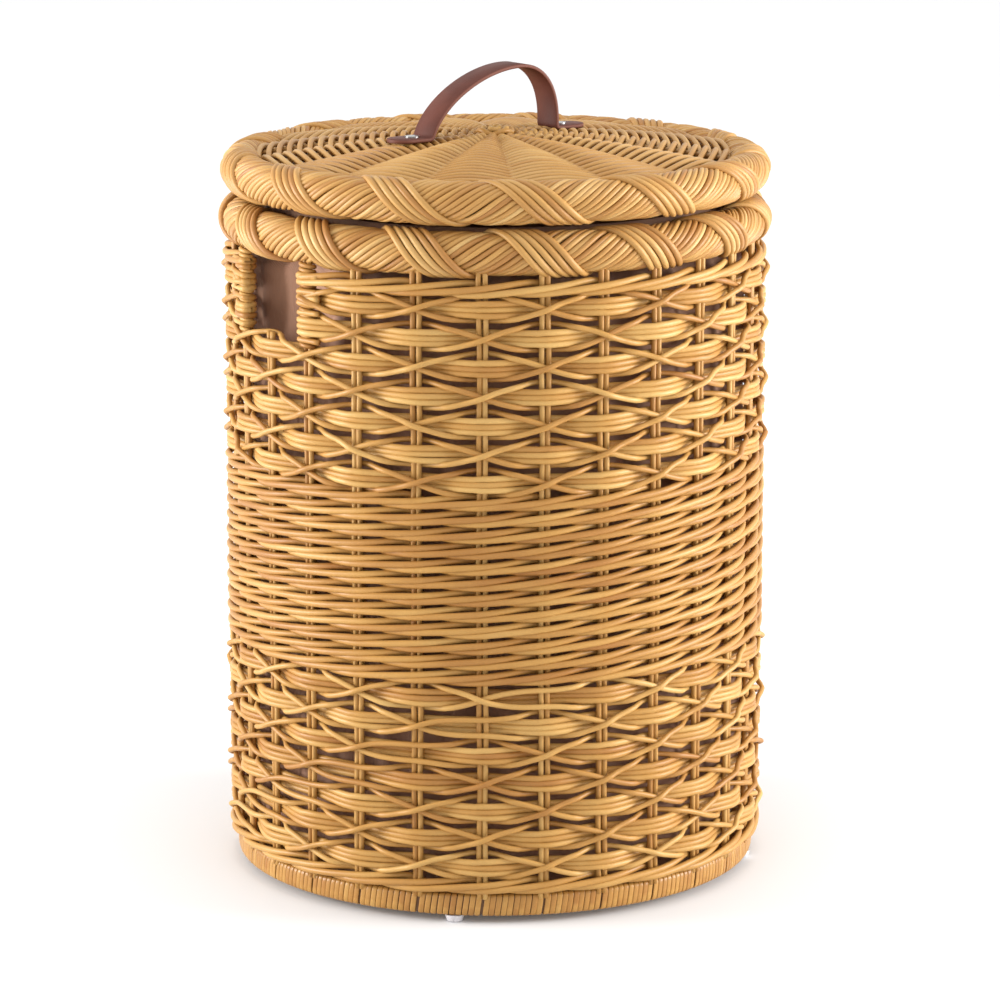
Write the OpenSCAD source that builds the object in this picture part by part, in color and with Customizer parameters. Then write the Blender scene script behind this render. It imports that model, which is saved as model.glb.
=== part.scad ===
// Round woven laundry basket with a cloth liner, two hand holes and a lift-off woven lid with a strap.
// Millimetres. The origin is on the floor, under the middle; +Z is up and the hand holes face +X and -X.

/* [Wall] */
// Radius of the circle that the upright canes stand on
wall_r = 199; // [197:0.5:200]
// Number of upright pairs of canes
pairs = 28; // [28:28]
// Thickness of one upright cane
cane_d = 4.2; // [3.6:0.1:4.4]
// Thickness of one weaving strand
strand_d = 4.2; // [3.4:0.1:4.4]
// Height of one row of the open weave
open_pitch = 21.3; // [20.5:0.1:21.5]
// Rows in each open band
open_rows = 7; // [7:7]
// Height of one row of the close weave
close_pitch = 11.6; // [11:0.1:11.8]
// Rows in the close band
close_rows = 12; // [12:12]

/* [Base] */
// Height of a foot
foot_h = 5.4; // [5:0.1:6]
// Width of a foot
foot_d = 14; // [10:0.5:16]
// Outer radius of the wrapped base hoop
hoop_r = 200.6; // [200:0.1:201]
// Height of the wrapped base hoop
hoop_h = 17.6; // [16:0.1:18]

/* [Rims] */
// Radius of the middle of both rims
rim_r = 192; // [190:0.5:193]
// Radius of the rope of strands in each rim
rope_r = 15.4; // [14:0.1:15.6]
// How far the wrapping strands stand out from the rope
wrap_t = 2.8; // [2:0.1:3]
// Height of the middle of the basket's rim
rim_z = 499.6; // [499:0.1:500]
// Turns of the wrapping on the basket's rim
rim_turns = 15; // [10:1:18]
// Turns of the wrapping on the lid's rim
lid_turns = 13; // [10:1:18]

/* [Hand holes] */
// Width of a hand hole, between its bound edges
hole_w = 73; // [60:1:76]
// Height of the lower edge of a hand hole
hole_z = 424; // [422:1:428]
// How far the left hand hole and the stakes beside it are turned out of place, in degrees
hole_turn = 2.2; // [0:0.1:3]

/* [Liner] */
// Outer radius of the liner's neck, inside the rim
liner_r = 172; // [160:1:173]
// Outer radius of the liner below the rim
liner_body_r = 188; // [176:1:190]
// Thickness of the liner with its lining
liner_t = 1.6; // [1:0.1:3]

/* [Lid and strap] */
// Height of the dome of the lid
dome_h = 15; // [12:0.5:16]
// Thickness of the woven disc of the lid
disc_t = 5.2; // [4:0.1:6]
// Width of the leather strap
strap_w = 25; // [20:1:28]
// Thickness of the leather strap
strap_t = 2.8; // [2:0.1:3]
// Height of the line that the strap bends sideways about, above the tabs
sway_h = 13.6; // [13:0.1:16]

/* [Hidden] */
$fn = 96;
step = 360 / pairs;
rattan = "#D9A55C";
rattan_dark = "#C08A45";
cloth = "#8A6A5E";
leather = "#87544A";
pair_gap = cane_d + 0.1;
inner_r = wall_r - cane_d / 2 - strand_d;
outer_r = wall_r + cane_d / 2 + strand_d;
ridge = 2;
cut_stake = [0, pairs / 2];
hoop_t = 14;
peel_t = 1.4;
hoop_z0 = foot_h;
hoop_z1 = hoop_z0 + hoop_h;
foot_ring_r = 193;
floor_z = hoop_z0 + 7;
wale_z = hoop_z1 + 0.4;
lower_z = wale_z + 10.4;
middle_z = lower_z + open_rows * open_pitch;
upper_z = middle_z + close_rows * close_pitch;
top_wale_z = upper_z + open_rows * open_pitch;
wrap_r = rope_r + wrap_t;
top_wale_h = rim_z - wrap_r - top_wale_z - 0.2;
core_r = 8;
lid_z = rim_z + 2 * wrap_r + 0.3;
edge_t = 15;
binding_z1 = top_wale_z - 0.3;
hole_edge_a = asin((hole_w / 2 + edge_t / 2) / wall_r);
liner_z0 = floor_z + 8;
liner_z1 = lid_z - wrap_r - 3;
liner_foot_r = liner_body_r - 4;
liner_foot_h = 16;
neck_z = rim_z - 29.6;
neck_h = 20;
disc_r = rim_r - 10.5;
disc_z = lid_z + 10.6;
dome_r = (disc_r * disc_r + dome_h * dome_h) / (2 * dome_h);
spokes = 16;
hub_r = 11;
tab_l = 31;
tab_z = disc_z + dome_h - 0.6;
foot_left = [-66, tab_z + strap_t / 2];
foot_right = [50, tab_z + strap_t / 2];
strap_top = [16, tab_z + 51];
sway_z = tab_z + strap_t + sway_h;
rivet_d = 11;
rivet_t = 1.2;
shank_d = 4;
rivet_in = 10.5;
rivet_left_x = foot_left[0] - rivet_in;
rivet_right_x = foot_right[0] + rivet_in;

// a point on a cubic curve through a and d, pulled toward b and c
function bend(a, b, c, d, t) =
    pow(1 - t, 3) * a + 3 * pow(1 - t, 2) * t * b + 3 * (1 - t) * t * t * c + t * t * t * d;

// the middle line of the strap, from its left foot over the top to its right foot
function strap_line(n) = concat(
    [for (i = [0:n]) bend(foot_left, foot_left + [8, 26], strap_top - [34, 0], strap_top, i / n)],
    [for (i = [1:n]) bend(strap_top, strap_top + [20, 0], foot_right + [2, 34], foot_right, i / n)]);

// the direction square to a line of points at point i
function side(line, i) =
    let (along = line[min(i + 1, len(line) - 1)] - line[max(i - 1, 0)])
    [-along[1], along[0]] / norm(along);

// the height of the lid's upper face at a distance from the middle
function dome(r) = disc_z + dome_h - dome_r + sqrt(dome_r * dome_r - r * r);

// a ring with the given section around the upright axis
module ring(section) {
    rotate_extrude($fn = 168) polygon(section);
}

// a band of weaving with one ridge a row on each face
module ridged_band(z0, pitch, rows) {
    out = [for (i = [0:rows - 1]) each [
        [outer_r - ridge, z0 + i * pitch],
        [outer_r, z0 + (i + 0.25) * pitch],
        [outer_r, z0 + (i + 0.75) * pitch]]];
    in = [for (i = [rows - 1:-1:0]) each [
        [inner_r, z0 + (i + 0.75) * pitch],
        [inner_r, z0 + (i + 0.25) * pitch],
        [inner_r + ridge, z0 + i * pitch]]];
    top = z0 + rows * pitch;
    ring(concat(out, [[outer_r - ridge, top], [inner_r + ridge, top]], in));
}

// the angle of stake number i, with the left hand hole and its neighbours a little out of place
function stake_a(i) = i * step - hole_turn * exp(-pow((i - cut_stake[1] - 0.8) / 2.6, 4));

// one pair of canes at stake number i
module cane_pair(i, z0, z1) {
    for (s = [-1, 1])
        rotate([0, 0, stake_a(i)])
            translate([wall_r, s * pair_gap / 2, z0])
                cylinder(d = cane_d, h = z1 - z0, $fn = 24);
}

// two strands that cross in front of one stake
module crossing(i, z) {
    rotate([0, 0, stake_a(i)])
        for (s = [-1, 1])
            translate([wall_r + cane_d / 2 + strand_d / 2 + (s > 0 ? 2.6 : 0.6), 0, z])
                rotate([90 - s * 22, 0, 0])
                    cylinder(d = strand_d - 0.6, h = 30, center = true, $fn = 20);
}

// whether the weaving of an open row crosses in front of a stake
function crosses(i, row) = (i + row) % 2 == 1;

// whether a stake stands at or beside a hand hole
function at_hole(i) = min([for (c = [0, pairs / 2, pairs]) abs(i - c)]) <= 1;

module foot(angle) {
    color("#E8E6E0", 0.8)
        rotate([0, 0, angle])
            translate([foot_ring_r, 0, 0])
                rotate_extrude($fn = 48)
                    polygon([[0, 0], [foot_d * 0.32, 0], [foot_d * 0.42, 0.8], [foot_d / 2, foot_h - 1.6],
                        [foot_d / 2, foot_h], [0, foot_h]]);
}

module foot_front_left() { foot(225); }

module foot_front_right() { foot(315); }

module foot_back_left() { foot(135); }

module foot_back_right() { foot(45); }

module foot_nails() {
    color("silver")
        for (a = [45:90:315])
            rotate([0, 0, a])
                translate([foot_ring_r, 0, 1.6])
                    union() {
                        cylinder(d = 5, h = 1, $fn = 32);
                        cylinder(d = 1.8, h = 14, $fn = 24);
                    }
}

// the hoop's section, shrunk by t on every side
function hoop_section(t) = [
    [hoop_r - hoop_t + t, hoop_z0 + 3],
    [hoop_r - hoop_t + 3, hoop_z0 + t],
    [hoop_r - 3, hoop_z0 + t],
    [hoop_r - t, hoop_z0 + 3],
    [hoop_r - t, hoop_z1 - 3],
    [hoop_r - 3, hoop_z1 - t],
    [hoop_r - hoop_t + 3, hoop_z1 - t],
    [hoop_r - hoop_t + t, hoop_z1 - 3]];

module base_hoop() {
    color(rattan_dark) ring(hoop_section(peel_t));
}

module base_wrap() {
    color(rattan)
        for (i = [0:pairs - 1])
            rotate([0, 0, i * step + 0.35])
                rotate_extrude(angle = step - 0.7, $fn = 168)
                    difference() {
                        polygon(hoop_section(0));
                        polygon(hoop_section(peel_t));
                    }
}

module base_spokes() {
    color(rattan_dark)
        for (i = [0:spokes - 1])
            rotate([0, 90, (i + 0.5) * 360 / spokes])
                translate([-floor_z - 3, 0, hub_r])
                    cylinder(d = 4.2, h = hoop_r - hoop_t - hub_r - 0.2, $fn = 24);
}

module base_weave() {
    color(rattan)
        ring([[0, floor_z], [hoop_r - hoop_t - 0.2, floor_z], [hoop_r - hoop_t - 0.2, floor_z + 6],
            [0, floor_z + 6]]);
}

module stakes() {
    color(rattan)
        for (i = [0:pairs - 1])
            if (i % (pairs / 2) != 0)
                cane_pair(i, hoop_z0 + 3, rim_z - 2);
}

module cut_stakes() {
    color(rattan)
        for (i = cut_stake)
            cane_pair(i, hoop_z0 + 3, hole_z + 5);
}

module bottom_wale() {
    color(rattan) ridged_band(wale_z, 5, 2);
}

module lower_openwork() {
    color(rattan) ridged_band(lower_z, open_pitch, open_rows);
}

module middle_wale() {
    color(rattan_dark) ridged_band(middle_z, close_pitch, close_rows);
}

// the room that a hand hole and its bound edges take from the wall
module hole_room(half_w) {
    for (i = cut_stake)
        rotate([0, 0, stake_a(i)])
            translate([wall_r, 0, (hole_z + rim_z) / 2])
                cube([40, 2 * half_w, rim_z - hole_z], center = true);
}

module upper_openwork() {
    color(rattan)
        difference() {
            ridged_band(upper_z, open_pitch, open_rows);
            hole_room(hole_w / 2 + edge_t);
        }
}

module top_wale() {
    color(rattan)
        difference() {
            ridged_band(top_wale_z, top_wale_h / 2, 2);
            hole_room(hole_w / 2);
        }
}

module crossings(z0) {
    color(rattan)
        for (row = [0:open_rows - 1])
            for (i = [0:pairs - 1])
                if (crosses(i, row) && !(at_hole(i) && z0 + row * open_pitch > hole_z))
                    crossing(i, z0 + (row + 0.5) * open_pitch);
}

module lower_crossings() { crossings(lower_z); }

module upper_crossings() { crossings(upper_z); }

// the strands that turn back round the pair of stakes on each side of a hand hole
module hole_binding(angle) {
    color(rattan)
        rotate([0, 0, angle])
            for (s = [-1, 1])
                translate([wall_r * cos(hole_edge_a), s * (hole_w / 2 + edge_t / 2), hole_z])
                    linear_extrude(binding_z1 - hole_z)
                        union() {
                            square([12, edge_t - 5], center = true);
                            square([7, edge_t], center = true);
                            for (x = [-1, 1])
                                for (y = [-1, 1])
                                    translate([x * 3.5, y * (edge_t / 2 - 2.5)])
                                        circle(r = 2.5, $fn = 24);
                        }
}

module hole_binding_left() { hole_binding(stake_a(cut_stake[1])); }

module hole_binding_right() { hole_binding(stake_a(cut_stake[0])); }

// a round hoop of radius r whose middle is at height z
module hoop(r, z) {
    rotate_extrude($fn = 168) translate([rim_r, z]) circle(r = r, $fn = 40);
}

module rope(z) {
    rotate_extrude($fn = 168)
        translate([rim_r, z])
            difference() {
                circle(r = rope_r, $fn = 48);
                circle(r = core_r, $fn = 40);
            }
}

// the wrapping: one sleeve on the rope for each turn
module wrapping(z, turns, first) {
    for (i = [0:turns - 1])
        rotate([0, 0, first + i * 360 / turns])
            rotate_extrude(angle = 9, $fn = 168)
                translate([rim_r, z])
                    difference() {
                        circle(r = wrap_r, $fn = 48);
                        circle(r = rope_r, $fn = 48);
                    }
}

module rim_core() {
    color(rattan_dark) hoop(core_r, rim_z);
}

module rim_rope() {
    color(rattan) rope(rim_z);
}

module rim_wrap() {
    color(rattan) wrapping(rim_z, rim_turns, 0);
}

// one face of the liner's wall, set in from the outer face
function liner_line(inset) = [
    [liner_foot_r - inset, liner_z0], [liner_body_r - inset, liner_z0 + liner_foot_h],
    [liner_body_r - inset, neck_z], [liner_r - inset, neck_z + neck_h], [liner_r - inset, liner_z1]];

module liner_wall() {
    inner = liner_line(liner_t);
    color(cloth)
        ring(concat(liner_line(0), [for (i = [len(inner) - 1:-1:0]) inner[i]]));
}

module liner_floor() {
    floor_r = liner_foot_r - liner_t - 0.2;
    color(cloth)
        ring([[0, liner_z0], [floor_r, liner_z0], [floor_r, liner_z0 + liner_t], [0, liner_z0 + liner_t]]);
}

module liner_hem() {
    color(cloth)
        ring([[liner_r + 0.1, liner_z1 - 12], [liner_r + 1.3, liner_z1 - 12], [liner_r + 1.3, liner_z1],
            [liner_r + 0.1, liner_z1]]);
}

module liner_ties() {
    color("white")
        for (a = [20:45:335])
            rotate([90, 0, a])
                translate([liner_r + 2.8, liner_z1 - 8, 0])
                    rotate_extrude($fn = 32) translate([3.4, 0]) circle(r = 0.6, $fn = 16);
}

module lid_core() {
    color(rattan_dark) hoop(core_r, lid_z);
}

module lid_rope() {
    color(rattan) rope(lid_z);
}

module lid_wrap() {
    color(rattan) wrapping(lid_z, lid_turns, 6);
}

module lid_spokes() {
    color(rattan_dark)
        for (i = [0:spokes - 1])
            rotate([90, 0, i * 360 / spokes])
                linear_extrude(7, center = true)
                    polygon(concat(
                        [for (k = [0:4]) let (r = hub_r * 2 + k / 4 * (disc_r - hub_r * 2)) [r, dome(r) - 1.2]],
                        [for (k = [4:-1:0]) let (r = hub_r * 2 + k / 4 * (disc_r - hub_r * 2))
                            [r, dome(r) - disc_t + 1.2]]));
}

module lid_weave() {
    color(rattan)
        ring(concat(
            [for (k = [0:12]) let (r = k / 12 * disc_r) [r, dome(r)]],
            [for (k = [12:-1:0]) let (r = k / 12 * disc_r) [r, dome(r) - disc_t]]));
}

module lid_knot() {
    color(rattan)
        translate([0, 0, disc_z + dome_h])
            rotate_extrude($fn = 48)
                polygon([[0, 0.1], [11, 0.1], [11, 1.6], [8, 3], [0, 3.4]]);
}

// the flat end of the strap, from x toward dir, with the start of the bend
module tab(x, dir) {
    color(leather) {
        difference() {
            union() {
                translate([x + dir * (tab_l - strap_w / 2) / 2, 0, tab_z + strap_t / 2])
                    cube([tab_l - strap_w / 2, strap_w, strap_t], center = true);
                translate([x + dir * (tab_l - strap_w / 2), 0, tab_z])
                    cylinder(d = strap_w, h = strap_t, $fn = 48);
            }
            translate([x + dir * rivet_in, 0, tab_z - 1])
                cylinder(d = shank_d, h = strap_t + 2, $fn = 32);
        }
    }
}

module tab_left() { tab(foot_left[0], -1); }

module tab_right() { tab(foot_right[0], 1); }

// the height of the bottom of the washer under the disc
function washer_z(x) = dome(abs(x) + rivet_d / 2) - disc_t - rivet_t - 0.1;

// a rivet with a flat head on the tab and a shank down through the disc
module rivet(x) {
    color("silver")
        translate([x, 0, 0])
            union() {
                translate([0, 0, tab_z + strap_t])
                    cylinder(d = rivet_d, h = rivet_t, $fn = 48);
                translate([0, 0, washer_z(x)])
                    cylinder(d = shank_d, h = tab_z + strap_t + rivet_t / 2 - washer_z(x), $fn = 32);
            }
}

module rivet_left() { rivet(rivet_left_x); }

module rivet_right() { rivet(rivet_right_x); }

module washer(x) {
    color("silver")
        translate([x, 0, washer_z(x)])
            difference() {
                cylinder(d = rivet_d, h = rivet_t, $fn = 48);
                translate([0, 0, -1]) cylinder(d = shank_d, h = rivet_t + 2, $fn = 32);
            }
}

module washer_left() { washer(rivet_left_x); }

module washer_right() { washer(rivet_right_x); }

module strap() {
    line = strap_line(14);
    last = len(line) - 1;
    color(leather)
        intersection() {
            rotate([90, 0, 0])
                linear_extrude(strap_w, center = true)
                    polygon(concat(
                        [for (i = [0:last]) line[i] + side(line, i) * strap_t / 2],
                        [for (i = [last:-1:0]) line[i] - side(line, i) * strap_t / 2]));
            union() {
                translate([0, 0, sway_z + 50])
                    cube([300, 60, 100], center = true);
                translate([0, 0, sway_z])
                    rotate([0, 90, 0])
                        cylinder(r = strap_w / 2 - 0.2, h = 300, center = true, $fn = 64);
            }
        }
}

foot_front_left();
foot_front_right();
foot_back_left();
foot_back_right();
foot_nails();
base_hoop();
base_wrap();
base_spokes();
base_weave();
stakes();
cut_stakes();
bottom_wale();
lower_openwork();
lower_crossings();
middle_wale();
upper_openwork();
upper_crossings();
top_wale();
hole_binding_left();
hole_binding_right();
rim_core();
rim_rope();
rim_wrap();
liner_wall();
liner_floor();
liner_hem();
liner_ties();
lid_core();
lid_rope();
lid_wrap();
lid_spokes();
lid_weave();
lid_knot();
tab_left();
tab_right();
rivet_left();
rivet_right();
washer_left();
washer_right();
strap();
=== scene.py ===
"""Looks of a woven rattan laundry basket with a lid, a cloth liner and a leather strap.

Everything is in metres in the frame's own axes: the origin is on the floor under the middle, +Z is up, and
the hand holes face +X and -X. Sizes come from the frame's boxes wherever the frame has them.
"""

import math

import bpy
import numpy as np
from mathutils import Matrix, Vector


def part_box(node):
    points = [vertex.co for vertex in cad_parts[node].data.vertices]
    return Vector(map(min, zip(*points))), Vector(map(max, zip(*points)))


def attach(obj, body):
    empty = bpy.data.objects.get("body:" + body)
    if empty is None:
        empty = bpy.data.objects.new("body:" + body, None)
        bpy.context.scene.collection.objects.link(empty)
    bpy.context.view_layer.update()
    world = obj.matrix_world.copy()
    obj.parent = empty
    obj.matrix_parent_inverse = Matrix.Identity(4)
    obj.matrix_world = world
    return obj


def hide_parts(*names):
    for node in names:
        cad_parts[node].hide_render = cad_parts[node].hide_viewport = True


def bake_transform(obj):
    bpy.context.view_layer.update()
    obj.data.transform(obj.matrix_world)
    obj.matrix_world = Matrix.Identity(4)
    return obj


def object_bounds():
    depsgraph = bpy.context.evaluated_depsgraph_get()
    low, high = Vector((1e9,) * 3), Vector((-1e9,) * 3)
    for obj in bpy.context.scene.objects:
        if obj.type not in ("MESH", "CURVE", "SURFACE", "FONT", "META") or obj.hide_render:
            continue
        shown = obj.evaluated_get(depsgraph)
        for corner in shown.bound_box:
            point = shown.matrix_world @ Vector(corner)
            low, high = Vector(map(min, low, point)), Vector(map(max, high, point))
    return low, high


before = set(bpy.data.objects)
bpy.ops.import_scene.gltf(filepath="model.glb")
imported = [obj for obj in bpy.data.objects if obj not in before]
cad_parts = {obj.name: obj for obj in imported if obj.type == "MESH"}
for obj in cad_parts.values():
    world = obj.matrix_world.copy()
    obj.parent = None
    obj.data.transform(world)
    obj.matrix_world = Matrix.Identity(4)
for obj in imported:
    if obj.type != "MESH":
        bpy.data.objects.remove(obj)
CAD_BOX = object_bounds()

TAU = 2 * math.pi
# The wall: 28 pairs of canes, the rows of its bands, and the thickness of a cane and of each kind of strand
STAKES = 28
OPEN_ROWS = 7
CLOSE_ROWS = 12
CANE = 0.0042
STRAND = 0.0042
BUNDLE_STRAND = 0.0048
LOOSE_STRAND = 0.0042
WALE_STRAND = 0.0051
# The left hand hole and the stakes beside it are turned out of place, most of all a little past the hole
HOLE_TURN = math.radians(2.2)
TURN_PAST = 0.8
TURN_REACH = 2.6
# Pairs of spokes in the lid and the base, and turns of the wrapping on each rim
SPOKES = 16
RIM_TURNS = 15
LID_TURNS = 13
SEED = 7

rng = np.random.default_rng(SEED)


def low(node):
    """The lower corner of a CAD node's box."""
    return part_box(node)[0]


def high(node):
    """The upper corner of a CAD node's box."""
    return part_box(node)[1]


def hoop_of(node):
    """The radius of a round CAD hoop, the height of its middle and the radius of its section."""
    section = (high(node)[2] - low(node)[2]) / 2
    return high(node)[0] - section, (high(node)[2] + low(node)[2]) / 2, section


WALL_R = high("middle_wale")[0] - STRAND - CANE / 2
FRONT_R = WALL_R + CANE / 2 + STRAND / 2
BACK_R = WALL_R - CANE / 2 - STRAND / 2
STEP = TAU / STAKES


def stake_angle(u):
    """The angle of a place on the wall, counted in stakes."""
    off = (u % STAKES - STAKES / 2 - TURN_PAST) / TURN_REACH
    return u * STEP - HOLE_TURN * np.exp(-(off**4))


# ---------------------------------------------------------------- mesh helpers


def polar(radius, angle, height):
    """Points at a radius, angle and height around the upright axis."""
    return np.stack(np.broadcast_arrays(radius * np.cos(angle), radius * np.sin(angle), height), axis=-1)


def rod(line, out, radius, closed=False, tone=None, flat=1.0):
    """A rod or strip: its middle line, the way its outer side faces, and its half thickness. Closed joins its
    ends, tone picks its shade, and flat says how many times wider than thick it is."""
    return {
        "line": line,
        "out": out,
        "radius": np.broadcast_to(radius, (len(line),)),
        "closed": closed,
        "tone": rng.random() if tone is None else tone,
        "flat": flat,
    }


STRIP_FLAT = 2
STRIP_SQUARE = 0.45


def squared(wave, power):
    """A wave with flatter tops for a power under 1, so that a section made of two has squarer corners."""
    return np.sign(wave) * np.abs(wave) ** power


def grid_faces(rows, columns, closed=False):
    """Faces between rows of corners that each go once round. Closed joins the last row to the first."""
    i, j = np.meshgrid(np.arange(rows if closed else rows - 1), np.arange(columns), indexing="ij")
    i2, j2 = (i + 1) % rows, (j + 1) % columns
    faces = [i * columns + j, i * columns + j2, i2 * columns + j2, i2 * columns + j]
    return np.stack(faces, axis=-1).reshape(-1, 4)


def turned(faces):
    """The same faces, seen from their other side."""
    return faces[:, (0, 3, 2, 1)]


def steps_along(line):
    """The distance from a line's start to each of its points."""
    return np.concatenate([[0], np.cumsum(np.linalg.norm(np.diff(line, axis=0), axis=1))])


def sweep(r, sides):
    """Corners and faces of a rod, with the distance along it for each corner."""
    line, n = r["line"], len(r["line"])
    if r["closed"]:
        along = np.roll(line, -1, 0) - np.roll(line, 1, 0)
    else:
        along = np.gradient(line, axis=0)
    along /= np.linalg.norm(along, axis=1, keepdims=True)
    out = r["out"] - along * np.sum(r["out"] * along, axis=1, keepdims=True)
    out /= np.linalg.norm(out, axis=1, keepdims=True)
    side = np.cross(along, out)
    turn = (np.arange(sides) + 0.5) / sides * TAU
    square = STRIP_SQUARE if r["flat"] > STRIP_FLAT else 1
    across = squared(np.cos(turn), square)
    along_side = squared(np.sin(turn), square) * r["flat"]
    half = r["radius"][:, None, None]
    ring = out[:, None] * across[None, :, None] + side[:, None] * along_side[None, :, None]
    corners = (line[:, None] + half * ring).reshape(-1, 3)
    return corners, grid_faces(n, sides, r["closed"]), np.repeat(steps_along(line), sides)


def build(name, corners, quads, extra_faces=(), **attributes):
    """A smooth mesh object from corners, four-sided and other faces. Attributes have a number per corner."""
    mesh = bpy.data.meshes.new(name)
    extra_loops = np.array([corner for face in extra_faces for corner in face], dtype=int)
    loops = np.concatenate([quads.reshape(-1), extra_loops]).astype(np.int32)
    sizes = np.array([4] * len(quads) + [len(face) for face in extra_faces], dtype=np.int32)
    mesh.vertices.add(len(corners))
    mesh.vertices.foreach_set("co", corners.astype(np.float32).reshape(-1))
    mesh.loops.add(len(loops))
    mesh.loops.foreach_set("vertex_index", loops)
    mesh.polygons.add(len(sizes))
    mesh.polygons.foreach_set("loop_start", (np.cumsum(sizes) - sizes).astype(np.int32))
    mesh.polygons.foreach_set("loop_total", sizes)
    mesh.update(calc_edges=True)
    mesh.shade_smooth()
    for key, values in attributes.items():
        attribute = mesh.attributes.new(key, "FLOAT", "POINT")
        attribute.data.foreach_set("value", np.asarray(values, dtype=np.float32))
    piece = bpy.data.objects.new(name, mesh)
    bpy.context.collection.objects.link(piece)
    return piece


def strands(name, rods, material, body, replaced=(), sides=8):
    """One piece made of many rods, in place of the CAD nodes named."""
    corners, quads, caps, tone, along = [], [], [], [], []
    start = 0
    for r in rods:
        points, faces, distance = sweep(r, sides)
        corners.append(points)
        quads.append(faces + start)
        if not r["closed"]:
            end = start + len(points)
            caps.append(list(range(start + sides - 1, start - 1, -1)))
            caps.append(list(range(end - sides, end)))
        tone.append(np.full(len(points), r["tone"]))
        along.append(distance)
        start += len(points)
    piece = build(
        name, np.concatenate(corners), np.concatenate(quads), caps,
        tone=np.concatenate(tone), along=np.concatenate(along),
    )
    return finish_piece(piece, material, body, replaced)


def finish_piece(piece, material, body, replaced=()):
    """Gives a piece its material, its CAD body and the nodes it stands for."""
    piece.data.materials.append(material)
    if body:
        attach(piece, body)
    if replaced:
        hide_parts(*replaced)
    return piece


def ripple(angle, amount, waves=(3, 7, 12, 19)):
    """A small smooth unevenness that closes after one turn. Each call draws its own."""
    total = sum(np.cos(w * angle + rng.uniform(0, TAU)) for w in waves)
    return amount * total / math.sqrt(len(waves))


def ease(x):
    """0 before 0, 1 after 1, and a smooth step between."""
    x = np.clip(x, 0, 1)
    return x * x * (3 - 2 * x)


# ---------------------------------------------------------------- materials


def new_material(name):
    """A node material with its shader, and a function that adds nodes."""
    material = bpy.data.materials.new(name)
    material.use_nodes = True
    tree = material.node_tree
    shader = tree.nodes["Principled BSDF"]

    def add(kind, **values):
        node = tree.nodes.new(kind)
        for key, value in values.items():
            if hasattr(node, key):
                setattr(node, key, value)
            else:
                node.inputs[key].default_value = value
        return node

    return material, shader, add, tree.links.new


def ramp(add, stops):
    """A colour ramp from (place, colour) pairs."""
    node = add("ShaderNodeValToRGB")
    colours = node.color_ramp
    while len(colours.elements) < len(stops):
        colours.elements.new(0.5)
    for element, (place, colour) in zip(colours.elements, stops):
        element.position = place
        element.color = (*colour, 1)
    return node


def bump(add, link, shader, height, strength, distance):
    """Relief on a shader from a height."""
    node = add("ShaderNodeBump")
    node.inputs["Strength"].default_value = strength
    node.inputs["Distance"].default_value = distance
    link(height, node.inputs["Height"])
    link(node.outputs["Normal"], shader.inputs["Normal"])


def rattan(name, shades, roughness=0.42, own_strands=True):
    """Peeled cane with streaks along it and a fine grain. With own_strands, each strand has its own shade."""
    material, shader, add, link = new_material(name)
    place = add("ShaderNodeTexCoord")
    if own_strands:
        tone = add("ShaderNodeAttribute", attribute_name="tone").outputs["Fac"]
        along = add("ShaderNodeAttribute", attribute_name="along").outputs["Fac"]
        line = add("ShaderNodeCombineXYZ")
        link(along, line.inputs["X"])
        link(tone, line.inputs["Y"])
        stretch = add("ShaderNodeMapping")
        stretch.inputs["Scale"].default_value = (11, 60, 1)
        link(line.outputs["Vector"], stretch.inputs["Vector"])
        where = stretch.outputs["Vector"]
    else:
        stretch = add("ShaderNodeMapping")
        stretch.inputs["Scale"].default_value = (120, 120, 4)
        link(place.outputs["Object"], stretch.inputs["Vector"])
        where = stretch.outputs["Vector"]
        cell = add("ShaderNodeTexNoise")
        cell.inputs["Scale"].default_value = 1.0
        link(where, cell.inputs["Vector"])
        tone = cell.outputs["Fac"]
    patches = add("ShaderNodeTexNoise")
    patches.inputs["Scale"].default_value = 1.0
    patches.inputs["Detail"].default_value = 4.0
    link(where, patches.inputs["Vector"])
    mixed = add("ShaderNodeMath", operation="ADD")
    scaled = add("ShaderNodeMath", operation="MULTIPLY")
    scaled.inputs[1].default_value = 0.6
    link(tone, scaled.inputs[0])
    link(scaled.outputs[0], mixed.inputs[0])
    share = add("ShaderNodeMath", operation="MULTIPLY_ADD")
    share.inputs[1].default_value = 1.3
    share.inputs[2].default_value = -0.45
    link(patches.outputs["Fac"], share.inputs[0])
    link(share.outputs[0], mixed.inputs[1])
    colours = ramp(add, shades)
    link(mixed.outputs[0], colours.inputs["Fac"])
    grain = add("ShaderNodeTexNoise")
    grain.inputs["Scale"].default_value = 900.0
    grain.inputs["Detail"].default_value = 3.0
    link(place.outputs["Object"], grain.inputs["Vector"])
    speck = add("ShaderNodeMix", data_type="RGBA", blend_type="MULTIPLY")
    speck.inputs["Factor"].default_value = 0.22
    link(colours.outputs["Color"], speck.inputs["A"])
    link(grain.outputs["Fac"], speck.inputs["B"])
    link(speck.outputs["Result"], shader.inputs["Base Color"])
    shader.inputs["Roughness"].default_value = roughness
    shader.inputs["Specular IOR Level"].default_value = 0.32
    bump(add, link, shader, grain.outputs["Fac"], 0.25, 0.0004)
    return material


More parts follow.
